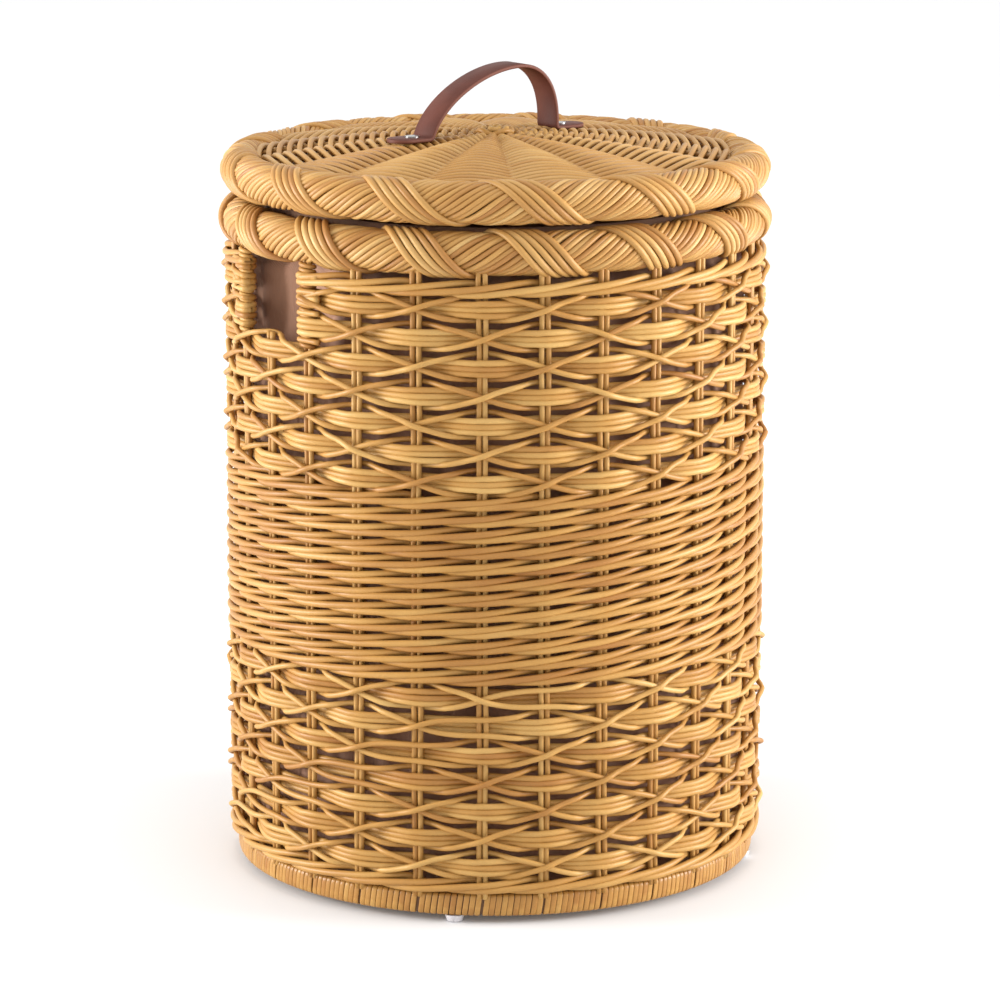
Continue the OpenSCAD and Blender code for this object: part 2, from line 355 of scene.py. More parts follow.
def cloth_material(name, colour, fold_colour):
    """Woven cotton: fine crossed threads, a soft sheen and faint unevenness."""
    material, shader, add, link = new_material(name)
    place = add("ShaderNodeTexCoord")
    threads = []
    for direction in ("X", "Z"):
        wave = add("ShaderNodeTexWave", bands_direction=direction)
        wave.inputs["Scale"].default_value = 420.0
        wave.inputs["Distortion"].default_value = 0.6
        link(place.outputs["Object"], wave.inputs["Vector"])
        threads.append(wave.outputs["Fac"])
    both = add("ShaderNodeMath", operation="ADD")
    link(threads[0], both.inputs[0])
    link(threads[1], both.inputs[1])
    stain = add("ShaderNodeTexNoise")
    stain.inputs["Scale"].default_value = 14.0
    stain.inputs["Detail"].default_value = 5.0
    link(place.outputs["Object"], stain.inputs["Vector"])
    colours = ramp(add, [(0.3, fold_colour), (0.7, colour)])
    link(stain.outputs["Fac"], colours.inputs["Fac"])
    link(colours.outputs["Color"], shader.inputs["Base Color"])
    shader.inputs["Roughness"].default_value = 0.72
    shader.inputs["Sheen Weight"].default_value = 0.08
    shader.inputs["Sheen Roughness"].default_value = 0.4
    bump(add, link, shader, both.outputs[0], 0.35, 0.0004)
    return material


def leather_material():
    """Smooth reddish-brown leather with a fine pebble and pale cut edges."""
    material, shader, add, link = new_material("leather_brown")
    place = add("ShaderNodeTexCoord")
    clouds = add("ShaderNodeTexNoise")
    clouds.inputs["Scale"].default_value = 45.0
    clouds.inputs["Detail"].default_value = 6.0
    link(place.outputs["Object"], clouds.inputs["Vector"])
    colours = ramp(add, [(0.3, (0.078, 0.022, 0.014)), (0.7, (0.122, 0.037, 0.024))])
    link(clouds.outputs["Fac"], colours.inputs["Fac"])
    edge = add("ShaderNodeAttribute", attribute_name="edge")
    mix = add("ShaderNodeMix", data_type="RGBA")
    mix.inputs["B"].default_value = (0.165, 0.060, 0.040, 1)
    link(edge.outputs["Fac"], mix.inputs["Factor"])
    link(colours.outputs["Color"], mix.inputs["A"])
    link(mix.outputs["Result"], shader.inputs["Base Color"])
    pebble = add("ShaderNodeTexVoronoi", feature="DISTANCE_TO_EDGE")
    pebble.inputs["Scale"].default_value = 900.0
    link(place.outputs["Object"], pebble.inputs["Vector"])
    shader.inputs["Roughness"].default_value = 0.55
    shader.inputs["Specular IOR Level"].default_value = 0.2
    bump(add, link, shader, pebble.outputs["Distance"], 0.3, 0.0005)
    return material


def steel_material():
    """Plated steel with fine scratches."""
    material, shader, add, link = new_material("steel_bright")
    place = add("ShaderNodeTexCoord")
    scratches = add("ShaderNodeTexNoise")
    scratches.inputs["Scale"].default_value = 1200.0
    scratches.inputs["Detail"].default_value = 2.0
    link(place.outputs["Object"], scratches.inputs["Vector"])
    colours = ramp(add, [(0.3, (0.36, 0.35, 0.34)), (0.7, (0.50, 0.49, 0.48))])
    link(scratches.outputs["Fac"], colours.inputs["Fac"])
    link(colours.outputs["Color"], shader.inputs["Base Color"])
    shader.inputs["Metallic"].default_value = 1.0
    shader.inputs["Roughness"].default_value = 0.28
    bump(add, link, shader, scratches.outputs["Fac"], 0.08, 0.0003)
    return material


def foot_material():
    """Milky moulded plastic with scuffs."""
    material, shader, add, link = new_material("foot_plastic_milky")
    place = add("ShaderNodeTexCoord")
    scuffs = add("ShaderNodeTexNoise")
    scuffs.inputs["Scale"].default_value = 300.0
    scuffs.inputs["Detail"].default_value = 5.0
    link(place.outputs["Object"], scuffs.inputs["Vector"])
    colours = ramp(add, [(0.3, (0.54, 0.51, 0.52)), (0.7, (0.68, 0.65, 0.66))])
    link(scuffs.outputs["Fac"], colours.inputs["Fac"])
    link(colours.outputs["Color"], shader.inputs["Base Color"])
    shader.inputs["Roughness"].default_value = 0.35
    shader.inputs["Subsurface Weight"].default_value = 0.2
    shader.inputs["Subsurface Radius"].default_value = (0.004, 0.004, 0.004)
    bump(add, link, shader, scuffs.outputs["Fac"], 0.1, 0.0003)
    return material


HONEY = [(0.0, (0.36, 0.150, 0.033)), (0.45, (0.50, 0.258, 0.064)), (1.0, (0.64, 0.395, 0.130))]
PALE = [(0.0, (0.38, 0.165, 0.042)), (0.5, (0.53, 0.285, 0.082)), (1.0, (0.66, 0.42, 0.16))]
# Painted shade: the cores under the hoop and rim wrappings are dark brown, so that the gaps between the
# wrapping strands look shadowed
CORE_PAINTED_SHADE_COLOURS = [(0.0, (0.09, 0.038, 0.014)), (1.0, (0.17, 0.080, 0.030))]
RATTAN = rattan("rattan_honey", HONEY)
RIM_RATTAN = rattan("rattan_rim", PALE)
CORE_PAINTED_SHADE_RATTAN = rattan("rattan_core_painted_shade", CORE_PAINTED_SHADE_COLOURS, own_strands=False)
PEEL = rattan("rattan_peel", HONEY, roughness=0.34)
LINER = cloth_material("liner_cotton", (0.37, 0.190, 0.112), (0.27, 0.132, 0.075))
COTTON = cloth_material("tie_cotton_white", (0.85, 0.84, 0.80), (0.72, 0.70, 0.66))
LEATHER = leather_material()
STEEL = steel_material()
PLASTIC = foot_material()


# ---------------------------------------------------------------- wall of the basket

HOLE_STAKES = (0, STAKES // 2)
# Points between two stakes along every strand of the wall
WEAVE_SAMPLES = 9
# Height from one strand of a bundle to the next, and how much closer they lie behind a stake
BUNDLE_GAP = 0.0043
BEHIND_SHARE = 0.1
# How far the strands in front stand off the stakes, and how far a bundle bows out between two stakes
BUNDLE_OUT = 0.0008
BUNDLE_BOW = 0.0012
LOOSE_OUT = 0.0004
# How high a loose strand runs above or below its row, its slope where it crosses, and how far it lifts there
LOOP_RISE = 0.0095
SPREAD_RISE = 0.006
CROSS_SLOPE = 0.0187
CROSS_LIFT = 0.0037
# The stake where the fault that climbs through the lower band meets the band's top row
FAULT_STAKE = 19


def stake_state(band, row, stake):
    """How a row passes a stake, with rows counted from the top. At "over" the three strands are in front and
    the loose pair is behind. At "cross" the pair crosses in front, and at "spread" it passes side by side."""
    if band == "upper":
        return "over" if (stake + row) % 2 == 0 else "cross"
    steps = (stake - (FAULT_STAKE - row)) % STAKES
    if steps in (0, STAKES // 2):
        return "spread"
    regular = steps < STAKES // 2
    return "over" if (steps % 2 == 1) == regular else "cross"


def path_between(count):
    """Places along a run of stakes, and for each the stake before it and the share of the way to the next."""
    u = np.linspace(0, count, count * WEAVE_SAMPLES + 1)
    before = np.minimum(u.astype(int), count - 1)
    return u, before, u - before


def bundle_radius(front, before, share):
    """The radius of the three strands: outside at the stakes they pass in front of, inside at the others."""
    here, there = front[before], front[before + 1]
    bow = BUNDLE_BOW * np.cos(math.pi * (share - 0.5)) * (here & there)
    ramp_up = 0.35 * ease((share - 0.08) / 0.84) + 0.65 * np.clip((share - 0.1) / 0.8, 0, 1)
    mix = np.where(here == there, 0.0, ramp_up)
    start = np.where(here, FRONT_R + BUNDLE_OUT, BACK_R)
    return start + mix * (np.where(there, FRONT_R + BUNDLE_OUT, BACK_R) - start) + bow


def loose_radius(front, before, share):
    """The radius of a loose strand, which comes out quickly to pass over the three strands."""
    here, there = front[before], front[before + 1]
    start = np.where(here, FRONT_R + LOOSE_OUT, BACK_R)
    rising = ease((share - 0.1) / 0.45)
    falling = 1 - ease((share - 0.45) / 0.45)
    mix = np.where(here == there, 0.0, np.where(there, rising, 1 - falling))
    return start + mix * (np.where(there, FRONT_R + LOOSE_OUT, BACK_R) - start)


def loose_heights(states, sign):
    """Height and slope of a loose strand at each stake of a run, as it changes sides at every crossing."""
    heights, slopes = [], []
    for state in states:
        if state == "cross":
            heights.append(0.0)
            slopes.append(-sign * CROSS_SLOPE)
            sign = -sign
        else:
            heights.append(sign * (LOOP_RISE if state == "over" else SPREAD_RISE))
            slopes.append(0.0)
    return np.array(heights), np.array(slopes), sign


def hermite(values, slopes, before, share):
    """A smooth curve through values with given slopes at whole numbers."""
    s2, s3 = share**2, share**3
    return (
        (2 * s3 - 3 * s2 + 1) * values[before]
        + (s3 - 2 * s2 + share) * slopes[before]
        + (3 * s2 - 2 * s3) * values[before + 1]
        + (s3 - s2) * slopes[before + 1]
    )


def hook(end_angle, inward, front, z, side):
    """Points that turn round the pair of stakes at a hand hole and go back along the other face."""
    bend_points, back_points = 8, 5
    turn = np.linspace(0, math.pi, bend_points + 1)[1:]
    start = (FRONT_R - BACK_R) / 2 * (1 if front else -1)
    pair, bulge = CANE / WALL_R, 0.0024 / WALL_R
    bend_angle = end_angle - inward * (pair + bulge * np.sin(turn))
    back = np.linspace(0, 1, back_points + 1)[1:] * 0.42 * STEP
    radius = np.concatenate([WALL_R + start * np.cos(turn), np.full(back_points, WALL_R - start)])
    angle = np.concatenate([bend_angle, end_angle - inward * pair + inward * back])
    return polar(radius, angle, z + side * np.linspace(0, 0.001, len(radius)))


def open_row(band, row, height, first, last):
    """The strands of one row of the open weave from one stake to another, or once round."""
    count = last - first
    whole = count == STAKES
    states = [stake_state(band, row, (first + i) % STAKES) for i in range(count + 1)]
    front = np.array([s == "over" for s in states])
    u, before, share = path_between(count)
    angle = stake_angle(first + u)
    rods = []
    for k in (-1, 0, 1):
        radius = bundle_radius(front, before, share) + ripple(angle, 0.00035)
        pull = 1 - BEHIND_SHARE * (1 - front[before])
        z = height + k * BUNDLE_GAP * pull + ripple(angle, 0.0003)
        rods.append(ended(radius, angle, z, BUNDLE_STRAND / 2, whole, front, k))
    for sign in (1, -1):
        heights, slopes, last_sign = loose_heights(states[:count], sign)
        crossing = not whole and states[count] == "cross"
        heights = np.append(heights, 0.0 if crossing else last_sign * LOOP_RISE)
        slopes = np.append(slopes, -last_sign * CROSS_SLOPE if crossing else 0.0)
        z = height + hermite(heights, slopes, before, share) + ripple(angle, 0.0003)
        radius = loose_radius(~front, before, share) + ripple(angle, 0.0003)
        radius = radius + over_at_crossings(states, slopes, u, row)
        rods.append(ended(radius, angle, z, LOOSE_STRAND / 2, False, ~front, sign))
    return rods


def over_at_crossings(states, slopes, u, row):
    """How far a loose strand lifts over the other where they cross. The rising one is mostly on top."""
    lift = np.zeros(len(u))
    for i, state in enumerate(states[: len(slopes)]):
        if state != "cross":
            continue
        rising_on_top = (i * 5 + row * 3) % 7 != 0
        if (slopes[i] > 0) == rising_on_top:
            lift += CROSS_LIFT * np.exp(-(((u - i) / 0.17) ** 2))
    return lift


def ended(radius, angle, z, half, closed, front, side):
    """A rod along the wall. Where it stops at a hand hole, it turns back round the stakes."""
    line = polar(radius, angle, z)
    if closed:
        return rod(line[:-1], polar(1, angle[:-1], 0), half, closed=True)
    if angle[-1] - angle[0] < TAU - 0.01:
        start = hook(angle[0], 1, front[0], z[0], side)[::-1]
        end = hook(angle[-1], -1, front[-1], z[-1], side)
        line = np.concatenate([start, line, end])
    out = line * (1, 1, 0)
    return rod(line, out / np.linalg.norm(out, axis=1, keepdims=True), half)


def first_over(band, row):
    """A stake at the back that the three strands pass in front of, where the ends of a row meet unseen."""
    stake = 4
    while stake_state(band, row, stake) != "over":
        stake += 1
    return stake


def open_band(band, node, crossings):
    """One band of the open weave, as the rods of all of its rows."""
    z0, z1 = low(node)[2], high(node)[2]
    pitch = (z1 - z0) / OPEN_ROWS
    hole_z = low("hole_binding_left")[2]
    rods = []
    for row in range(OPEN_ROWS):
        height = z1 - (row + 0.5) * pitch
        if band == "upper" and height > hole_z:
            for hole in HOLE_STAKES:
                rods += open_row(band, row, height, hole + 1, hole + STAKES // 2 - 1)
        else:
            first = first_over(band, row)
            rods += open_row(band, row, height, first, first + STAKES)
    return strands(f"{band}_open_weave", rods, RATTAN, "basket", (node, crossings))


def stakes():
    """The upright pairs of canes, a little uneven. The pair at each hand hole stops below it."""
    inside_hoop = 0.004
    z0, z1 = high("base_wrap")[2] - inside_hoop, high("stakes")[2]
    rods = []
    for i in range(STAKES):
        top = high("cut_stakes")[2] if i in HOLE_STAKES else z1
        z = np.linspace(z0, top, 70)
        for side in (-1, 1):
            sway = 0.0003 * (np.cos(23 * z + rng.uniform(0, TAU)) + np.cos(61 * z + rng.uniform(0, TAU)))
            angle = stake_angle(i) + (side * (CANE + 0.0002) / 2 + sway) / WALL_R
            out = np.tile(polar(1, stake_angle(i), 0), (len(z), 1))
            rods.append(rod(polar(WALL_R, angle, z), out, CANE / 2))
    strands("stake_canes", rods, RATTAN, "basket", ("stakes", "cut_stakes"))


# The way of a waling strand over one group of stakes: (stake, millimetres out from the wall or up)
WALE_GROUP = 3
WALE_OUT = [(0, -4.5), (0.12, -4.5), (0.35, -1.5), (0.6, 1.8), (0.9, 4.8), (1.5, 5.4), (2.1, 4.9),
            (2.35, 3.4), (2.6, 0.6), (2.88, -4.5), (3, -4.5)]
WALE_UP = [(0, 0.6), (0.2, -2.8), (0.5, -4.6), (1, -3.9), (2, 0.2), (2.6, 3.2), (2.9, 3.4), (3, 0.6)]
WALE_START = 5


def wale_track(keys, position):
    """A smooth repeating curve through the keys of one group, in metres."""
    fine = np.arange(0, WALE_GROUP, 1 / 60)
    values = np.interp(fine, [k[0] for k in keys], [k[1] for k in keys])
    kernel = np.hanning(21)
    padded = np.concatenate([values[-20:], values, values[:20]])
    smooth = np.convolve(padded, kernel / kernel.sum(), mode="same")[20:-20]
    whole = np.append(fine, WALE_GROUP), np.append(smooth, smooth[0])
    return np.interp(position % WALE_GROUP, *whole) / 1000


def wale_row(height, first, last, shift=0):
    """One row of waling. Each of its three strands passes in front of two stakes and behind the third."""
    count = last - first
    u = np.linspace(0, count, count * WEAVE_SAMPLES + 1)
    angle = stake_angle(first + u)
    rods = []
    for k in range(WALE_GROUP):
        position = u + k + shift
        radius = WALL_R + wale_track(WALE_OUT, position) + ripple(angle, 0.0003)
        z = height + wale_track(WALE_UP, position) + ripple(angle, 0.0003)
        line = polar(radius, angle, z)
        if count < STAKES - 1:
            start = hook(angle[0], 1, radius[0] > WALL_R, z[0], 0)[::-1]
            end = hook(angle[-1], -1, radius[-1] > WALL_R, z[-1], 0)
            line = np.concatenate([start, line, end])
            rods.append(rod(line, line * (1, 1, 0), WALE_STRAND / 2))
        else:
            rods.append(rod(line, polar(1, angle, 0), WALE_STRAND / 2, tone=rng.uniform(0, 0.55)))
    return rods


def middle_band():
    """The close-woven band, which stands a little past its CAD ring at the top."""
    z0, z1 = low("middle_wale")[2], high("middle_wale")[2] + 0.003
    pitch = (z1 - z0) / CLOSE_ROWS
    rods = []
    for row in range(CLOSE_ROWS):
        rods += wale_row(z0 + (row + 0.5) * pitch, WALE_START, WALE_START + STAKES)
    strands("middle_waling", rods, RATTAN, "basket", ("middle_wale",))


def single_wales():
    """The twisted rows under the rim and above the base hoop."""
    z = (low("bottom_wale")[2] + high("bottom_wale")[2]) / 2 + 0.002
    rods = wale_row(z, WALE_START, WALE_START + STAKES)
    strands("bottom_waling", rods, RATTAN, "basket", ("bottom_wale",))
    z = (low("top_wale")[2] + high("top_wale")[2]) / 2 - 0.0005
    rods = []
    for hole in HOLE_STAKES:
        rods += wale_row(z, hole + 1, hole + STAKES // 2 - 1, shift=hole // 2)
    strands("top_waling", rods, RATTAN, "basket", ("top_wale",))


# The strand that binds the stakes beside a hand hole, and its rise in one turn
BINDER = 0.0034
BINDER_PITCH = 0.0037


def coil(angle, z0, z1, half_wide):
    """A strand wound round a pair of stakes, from z0 up to z1."""
    turns = (z1 - z0) / BINDER_PITCH
    t = np.linspace(0, turns * TAU, int(turns * 16))
    thick = (CANE + BINDER) / 2
    side, out = half_wide * np.cos(t), thick * np.sin(t)
    outward = polar(1, angle, 0)
    sideways = np.array([-math.sin(angle), math.cos(angle), 0])
    line = polar(WALL_R, angle, 0) + outward * out[:, None] + sideways * side[:, None]
    line[:, 2] = z0 + t / TAU * BINDER_PITCH
    normal = outward * np.sin(t)[:, None] * 2 + sideways * np.cos(t)[:, None]
    return rod(line, normal, BINDER / 2)


def hole_bindings():
    """The bound pairs of stakes on both sides of each hand hole."""
    for side, hole in (("left", STAKES // 2), ("right", 0)):
        node = f"hole_binding_{side}"
        z0, z1 = low(node)[2], high("top_wale")[2] + 0.004
        rods = [coil(stake_angle(hole + k), z0, z1, CANE + BINDER / 2) for k in (-1, 1)]
        strands(f"hole_edge_{side}", rods, RATTAN, "basket", (node,))


# The base hoop's thickness, and the strips of peel between two stakes with the share that stays open
HOOP_THICK = 0.014
PEEL_STRIPS = 10
PEEL_GAP = 0.03
PEEL_HALF = 0.0006
PEEL_FLAT = 3.45


def hoop_wrapping():
    """Peel wound side by side round the base hoop, a little on the slant, with a gap at each stake."""
    lo, hi = low("base_wrap"), high("base_wrap")
    outer, height = hi[0], hi[2] - lo[2]
    middle_r, middle_z = outer - HOOP_THICK / 2, (lo[2] + hi[2]) / 2
    inset, corner, slant = 0.0007, 0.42, 0.0024
    turn = np.arange(28) / 28 * TAU
    across = squared(np.cos(turn), corner) * (HOOP_THICK / 2 - inset)
    up = squared(np.sin(turn), corner) * (height / 2 - inset)
    rods = []
    for k in range(STAKES * PEEL_STRIPS):
        stake, strip = divmod(k, PEEL_STRIPS)
        place = stake + PEEL_GAP / 2 + (1 - PEEL_GAP) * (strip + 0.5) / PEEL_STRIPS
        angle = stake_angle(np.array([place])) + (slant * up / height + rng.normal(0, 0.0001)) / outer
        line = polar(middle_r + across, angle, middle_z + up)
        normal = polar(np.cos(turn), place * STEP, np.sin(turn))
        tone = rng.uniform(0.05, 0.35)
        rods.append(rod(line, normal, PEEL_HALF, closed=True, flat=PEEL_FLAT, tone=tone))
    strands("hoop_wrapping", rods, PEEL, "basket", ("base_wrap",))


# ---------------------------------------------------------------- rims

# The rope: its strands, their thickness, their turns round the section in one turn of the rim, and how deep
# and how far to each side (in shares of a turn) the wrapping squeezes them
ROPE_COUNT = 19
ROPE_STRAND = 0.0043
ROPE_TURNS = 10
SQUEEZE = 0.0032
SQUEEZE_REACH = 0.19
# The wrapping: its strands, their thickness and their spacing along the rim
WRAP_COUNT = 5
WRAP_STRAND = 0.0045
WRAP_PITCH = 0.0066


def on_hoop(ring_r, z, section_r, angle, around):
    """Points on a round hoop and the way they face. Angle goes round the basket, around round the section."""
    out = polar(np.cos(around), angle, np.sin(around))
    return polar(ring_r, angle, z) + out * np.reshape(section_r, (-1, 1)), out


def wrapping_phase(angle, around, turns, first):
    """Distance along the hoop, in shares of one turn of the wrapping, from the middle of the nearest turn."""
    phase = (angle - first) * turns / TAU + around / TAU
    return np.abs(phase - np.round(phase))


def rim(name, body, rope, wrap, turns, first):
    """A rim: a bundle of strands laid like a rope, squeezed in by a spiral of five strands."""
    ring_r, z, rope_r = hoop_of(rope)
    wrap_r = high(wrap)[0] - ring_r
    angle = np.linspace(0, TAU, 360, endpoint=False)
    rods = []
    for k in range(ROPE_COUNT):
        start = (k + rng.uniform(-0.12, 0.12)) * TAU / ROPE_COUNT
        around = ROPE_TURNS * angle + start + ripple(angle, 0.035)
        near = wrapping_phase(angle, around, turns, first)
        squeeze = SQUEEZE * np.exp(-((near / SQUEEZE_REACH) ** 2))
        radius = rope_r + 0.0009 - ROPE_STRAND / 2 - squeeze + rng.uniform(-0.0007, 0.0004)
        line, out = on_hoop(ring_r, z, radius, angle, around)
        rods.append(rod(line, out, ROPE_STRAND / 2, closed=True))
    strands(f"{name}_rope_strands", rods, RIM_RATTAN, body, (rope,), sides=6)
    angle = np.linspace(0, TAU, turns * 34, endpoint=False)
    rods = []
    for k in range(WRAP_COUNT):
        shift = (k - (WRAP_COUNT - 1) / 2) * WRAP_PITCH / ring_r
        around = -turns * (angle - first - shift) + ripple(angle, 0.02)
        radius = wrap_r - WRAP_STRAND / 2 + ripple(angle, 0.0002)
        line, out = on_hoop(ring_r, z, radius, angle, around)
        rods.append(rod(line, out, WRAP_STRAND / 2, closed=True, flat=1.12))
    strands(f"{name}_wrapping_strands", rods, RIM_RATTAN, body, (wrap,))


# ---------------------------------------------------------------- woven discs


WEAVER = 0.0045
WEAVER_PITCH = 0.0039
SPOKE_HALF = 0.0018
SPOKE_TURN = math.radians(2.9)
UP = [0.0, 0.0, 1.0]


def woven_disc(name, body, nodes, r0, r1, middle_z, swing, samples):
    """Two weavers chase each other outward, each over every second spoke and under the others."""
    turns = (r1 - r0) / (2 * WEAVER_PITCH)
    t = np.linspace(0, turns, int(turns * samples))
    angle = t * TAU
    rods = []
    for k in (0, 1):
        radius = r0 + 2 * WEAVER_PITCH * t + k * WEAVER_PITCH + ripple(angle, 0.00025)
        wave = np.cos(SPOKES / 2 * angle + math.pi * k)
        reach = swing * (0.75 + 0.25 * ease(radius / 0.09))
        z = middle_z(radius) + reach * wave + ripple(angle, 0.0003)
        line = polar(radius, angle + SPOKE_TURN, z)
        rods.append(rod(line, np.tile(UP, (len(t), 1)), WEAVER / 2, tone=0.35 + 0.3 * k))
    r = np.linspace(r0 * 0.4, r1 + WEAVER_PITCH, 24)
    apart = np.minimum(SPOKE_HALF + 0.0001, r * 0.09)
    for i in range(SPOKES):
        a = i * TAU / SPOKES + SPOKE_TURN
        sideways = np.array([-math.sin(a), math.cos(a), 0])
        for side in (-1, 1):
            line = polar(r, a, middle_z(r)) + sideways * (side * apart)[:, None]
            rods.append(rod(line, np.tile(UP, (len(r), 1)), SPOKE_HALF))
    strands(name, rods, RIM_RATTAN, body, nodes)


# The dome's height, and how far the middle of its weave lies below the top of the CAD disc
DOME_RISE = 0.015
LID_SINK = 0.0036


def dome(r):
    """Height of the middle of the lid's weave at a distance from the centre."""
    edge_r, top_z = high("lid_weave")[0], high("lid_weave")[2]
    sphere = (edge_r**2 + DOME_RISE**2) / (2 * DOME_RISE)
    return top_z - sphere + np.sqrt(sphere**2 - r**2) - LID_SINK


def lid_disc():
    """The woven disc of the lid."""
    edge = high("lid_weave")[0] - 0.001
    woven_disc("lid_weaving", "lid", ("lid_weave", "lid_spokes"), 0.012, edge, dome, 0.0045, 128)


def base_disc():
    """The woven base."""
    lo, hi = low("base_weave"), high("base_weave")
    middle = (lo[2] + hi[2]) / 2 - 0.001

    def flat(r):
        return middle + 0 * r

    nodes = ("base_weave", "base_spokes")
    woven_disc("base_weaving", "basket", nodes, 0.014, hi[0] - 0.002, flat, 0.0034, 96)


def lid_knot():
    """The small eye of strands in the middle of the lid."""
    z = high("lid_knot")[2] - 0.0022
    t = np.linspace(0, TAU, 48, endpoint=False)
    rods = []
    for ring, (r, lift) in enumerate(((0.0128, 0.0), (0.0085, 0.0008), (0.0042, 0.0006))):
        wave = 0.0014 * np.cos(4 * t + ring * math.pi)
        rods.append(rod(polar(r, t, z + lift + wave), np.tile(UP, (len(t), 1)), 0.0023, closed=True))
    strands("lid_eye", rods, RATTAN, "lid", ("lid_knot",))


# ---------------------------------------------------------------- liner

LINER_COLUMNS = 240
LINER_ROWS = 56
LINER_TURN = np.arange(LINER_COLUMNS) / LINER_COLUMNS * TAU
# How much wider the cloth is than the ring it hangs on, and how far out its folds may reach
FULLNESS = 1.045
FOLD_LIMIT = BACK_R - STRAND / 2 - 0.0015
CLOTH_FRAMES = 40


def liner_outline(z):
    """Radius of the liner at a height: a little less at the foot, and a neck inside the rim."""
    body, neck = high("liner_wall")[0] - 0.0015, high("liner_hem")[0] - 0.0028
    foot = 0.004 * (1 - ease((z - low("liner_wall")[2]) / 0.016))
    return body - foot - (body - neck) * ease((z - low("liner_hem")[2] + 0.036) / 0.026)


def behind_holes(angle, z):
    """How far the liner stands back behind the hand holes."""
    across = WALL_R * np.sin(angle)
    middle = (low("hole_binding_left")[2] + high("hole_binding_left")[2]) / 2
    return 0.022 * np.exp(-((across / 0.05) ** 2)) * np.exp(-(((z - middle) / 0.055) ** 2))


def drum(name, radius, z0, z1):
    """An upright tube of cloth, as a grid."""
    z = np.linspace(z0, z1, LINER_ROWS)[:, None]
    angle = LINER_TURN[None, :]
    corners = polar(radius(angle, z), angle, z).reshape(-1, 3)
    return build(name, corners, grid_faces(LINER_ROWS, LINER_COLUMNS))


def hang(cloth, natural_scale, pins):
    """Lets cloth that is wider than the ring it hangs on fall into folds, and keeps them as its mesh."""
    group = cloth.vertex_groups.new(name="pins")
    group.add([int(v) for v in pins], 1.0, "REPLACE")
    cloth.shape_key_add(name="Basis")
    natural = cloth.shape_key_add(name="natural")
    co = np.array([v.co for v in cloth.data.vertices])
    co[:, :2] *= natural_scale
    natural.data.foreach_set("co", co.astype(np.float32).reshape(-1))
    natural.value = 0.0
    modifier = cloth.modifiers.new("fall", "CLOTH")
    settings = modifier.settings
    settings.quality = 6
    settings.mass = 0.0005
    settings.tension_stiffness = 20
    settings.compression_stiffness = 20
    settings.shear_stiffness = 8
    settings.bending_stiffness = 0.4
    settings.air_damping = 2
    settings.vertex_group_mass = "pins"
    settings.rest_shape_key = natural
    modifier.collision_settings.use_collision = False
    modifier.point_cache.frame_start = 1
    modifier.point_cache.frame_end = CLOTH_FRAMES
    scene = bpy.context.scene
    for number in range(1, CLOTH_FRAMES + 1):
        scene.frame_set(number)
    evaluated = cloth.evaluated_get(bpy.context.evaluated_depsgraph_get())
    fallen = np.array([v.co for v in evaluated.data.vertices])
    reach = np.hypot(fallen[:, 0], fallen[:, 1])
    fallen[:, :2] *= np.minimum(1, FOLD_LIMIT / reach)[:, None]
    cloth.modifiers.clear()
    cloth.shape_key_clear()
    cloth.vertex_groups.clear()
    cloth.data.vertices.foreach_set("co", fallen.astype(np.float32).reshape(-1))
    cloth.data.update()
    scene.frame_set(1)


def liner_wall(z0, z1):
    """The wall of the liner, gathered at the hem and at the foot."""
    phases = rng.uniform(0, TAU, 6)

    def seeded(angle, z):
        wave = 0.0010 * sum(np.cos(m * angle + p + 3 * z) for m, p in zip((17, 23, 29, 34, 41, 13), phases))
        wave = wave * np.minimum(1, (z - z0) / 0.05) * np.minimum(1, (z1 - z) / 0.03)
        return liner_outline(z) - behind_holes(angle, z) - 0.001 + wave

    wall = drum("liner_wall_cloth", seeded, z0, z1)
    count = LINER_COLUMNS * LINER_ROWS
    pins = list(range(LINER_COLUMNS)) + list(range(count - LINER_COLUMNS, count))
    hang(wall, FULLNESS, pins)
    return finish_piece(wall, LINER, "basket", ("liner_wall",))


def liner_hem(radius, top):
    """The turned hem, a thin band round the outside of the wall's upper edge."""
    section = ((0.0006, 0.0), (0.0016, -0.0004), (0.0020, -0.0060), (0.0016, -0.0115), (0.0004, -0.0120))
    rows = [polar(radius + out + ripple(LINER_TURN, 0.0002), LINER_TURN, top + up) for out, up in section]
    hem = build("liner_hem_band", np.concatenate(rows), turned(grid_faces(len(rows), LINER_COLUMNS)))
    return finish_piece(hem, LINER, "basket", ("liner_hem",))


def liner_floor(foot, level):
    """The floor of the liner, a little uneven and flat at its edge."""
    rows = []
    for r in np.linspace(0.002, foot - 0.001, 24):
        z = level + ripple(LINER_TURN, 0.0006) * min(1, 4 * (1 - r / foot))
        rows.append(polar(r, LINER_TURN, z))
    faces = turned(grid_faces(len(rows), LINER_COLUMNS))
    middle = list(range(LINER_COLUMNS - 1, -1, -1))
    bottom = build("liner_floor_cloth", np.concatenate(rows), faces, [middle])
    return finish_piece(bottom, LINER, "basket", ("liner_floor",))


def liner():
    """The cloth liner: its wall, its hem, its floor and the loops it is tied with."""
    z0, z1 = low("liner_wall")[2] + 0.001, high("liner_wall")[2]
    radius, foot = liner_outline(np.array([z1, z0]))
    wall = liner_wall(z0, z1)
    hem = liner_hem(radius, z1)
    bottom = liner_floor(foot, z0 + 0.0012)
    ties = tie_loops(radius, z1)


def tie_loops(radius, top):
    """White loops of cord sewn to the hem, which tie the liner to the rim."""
    t = np.linspace(0, TAU, 24, endpoint=False)
    r = radius + 0.0028 + 0.0034 * np.cos(t)
    z = top - 0.008 + 0.0040 * np.sin(t)
    rods = []
    for degrees in range(20, 380, 45):
        a = math.radians(degrees)
        line = polar(r, a + 0.004 * np.sin(t), z)
        rods.append(rod(line, polar(np.cos(t), a, np.sin(t)), 0.0007, closed=True))
    return strands("liner_tie_loops", rods, COTTON, "basket", ("liner_ties",))


# ---------------------------------------------------------------- strap


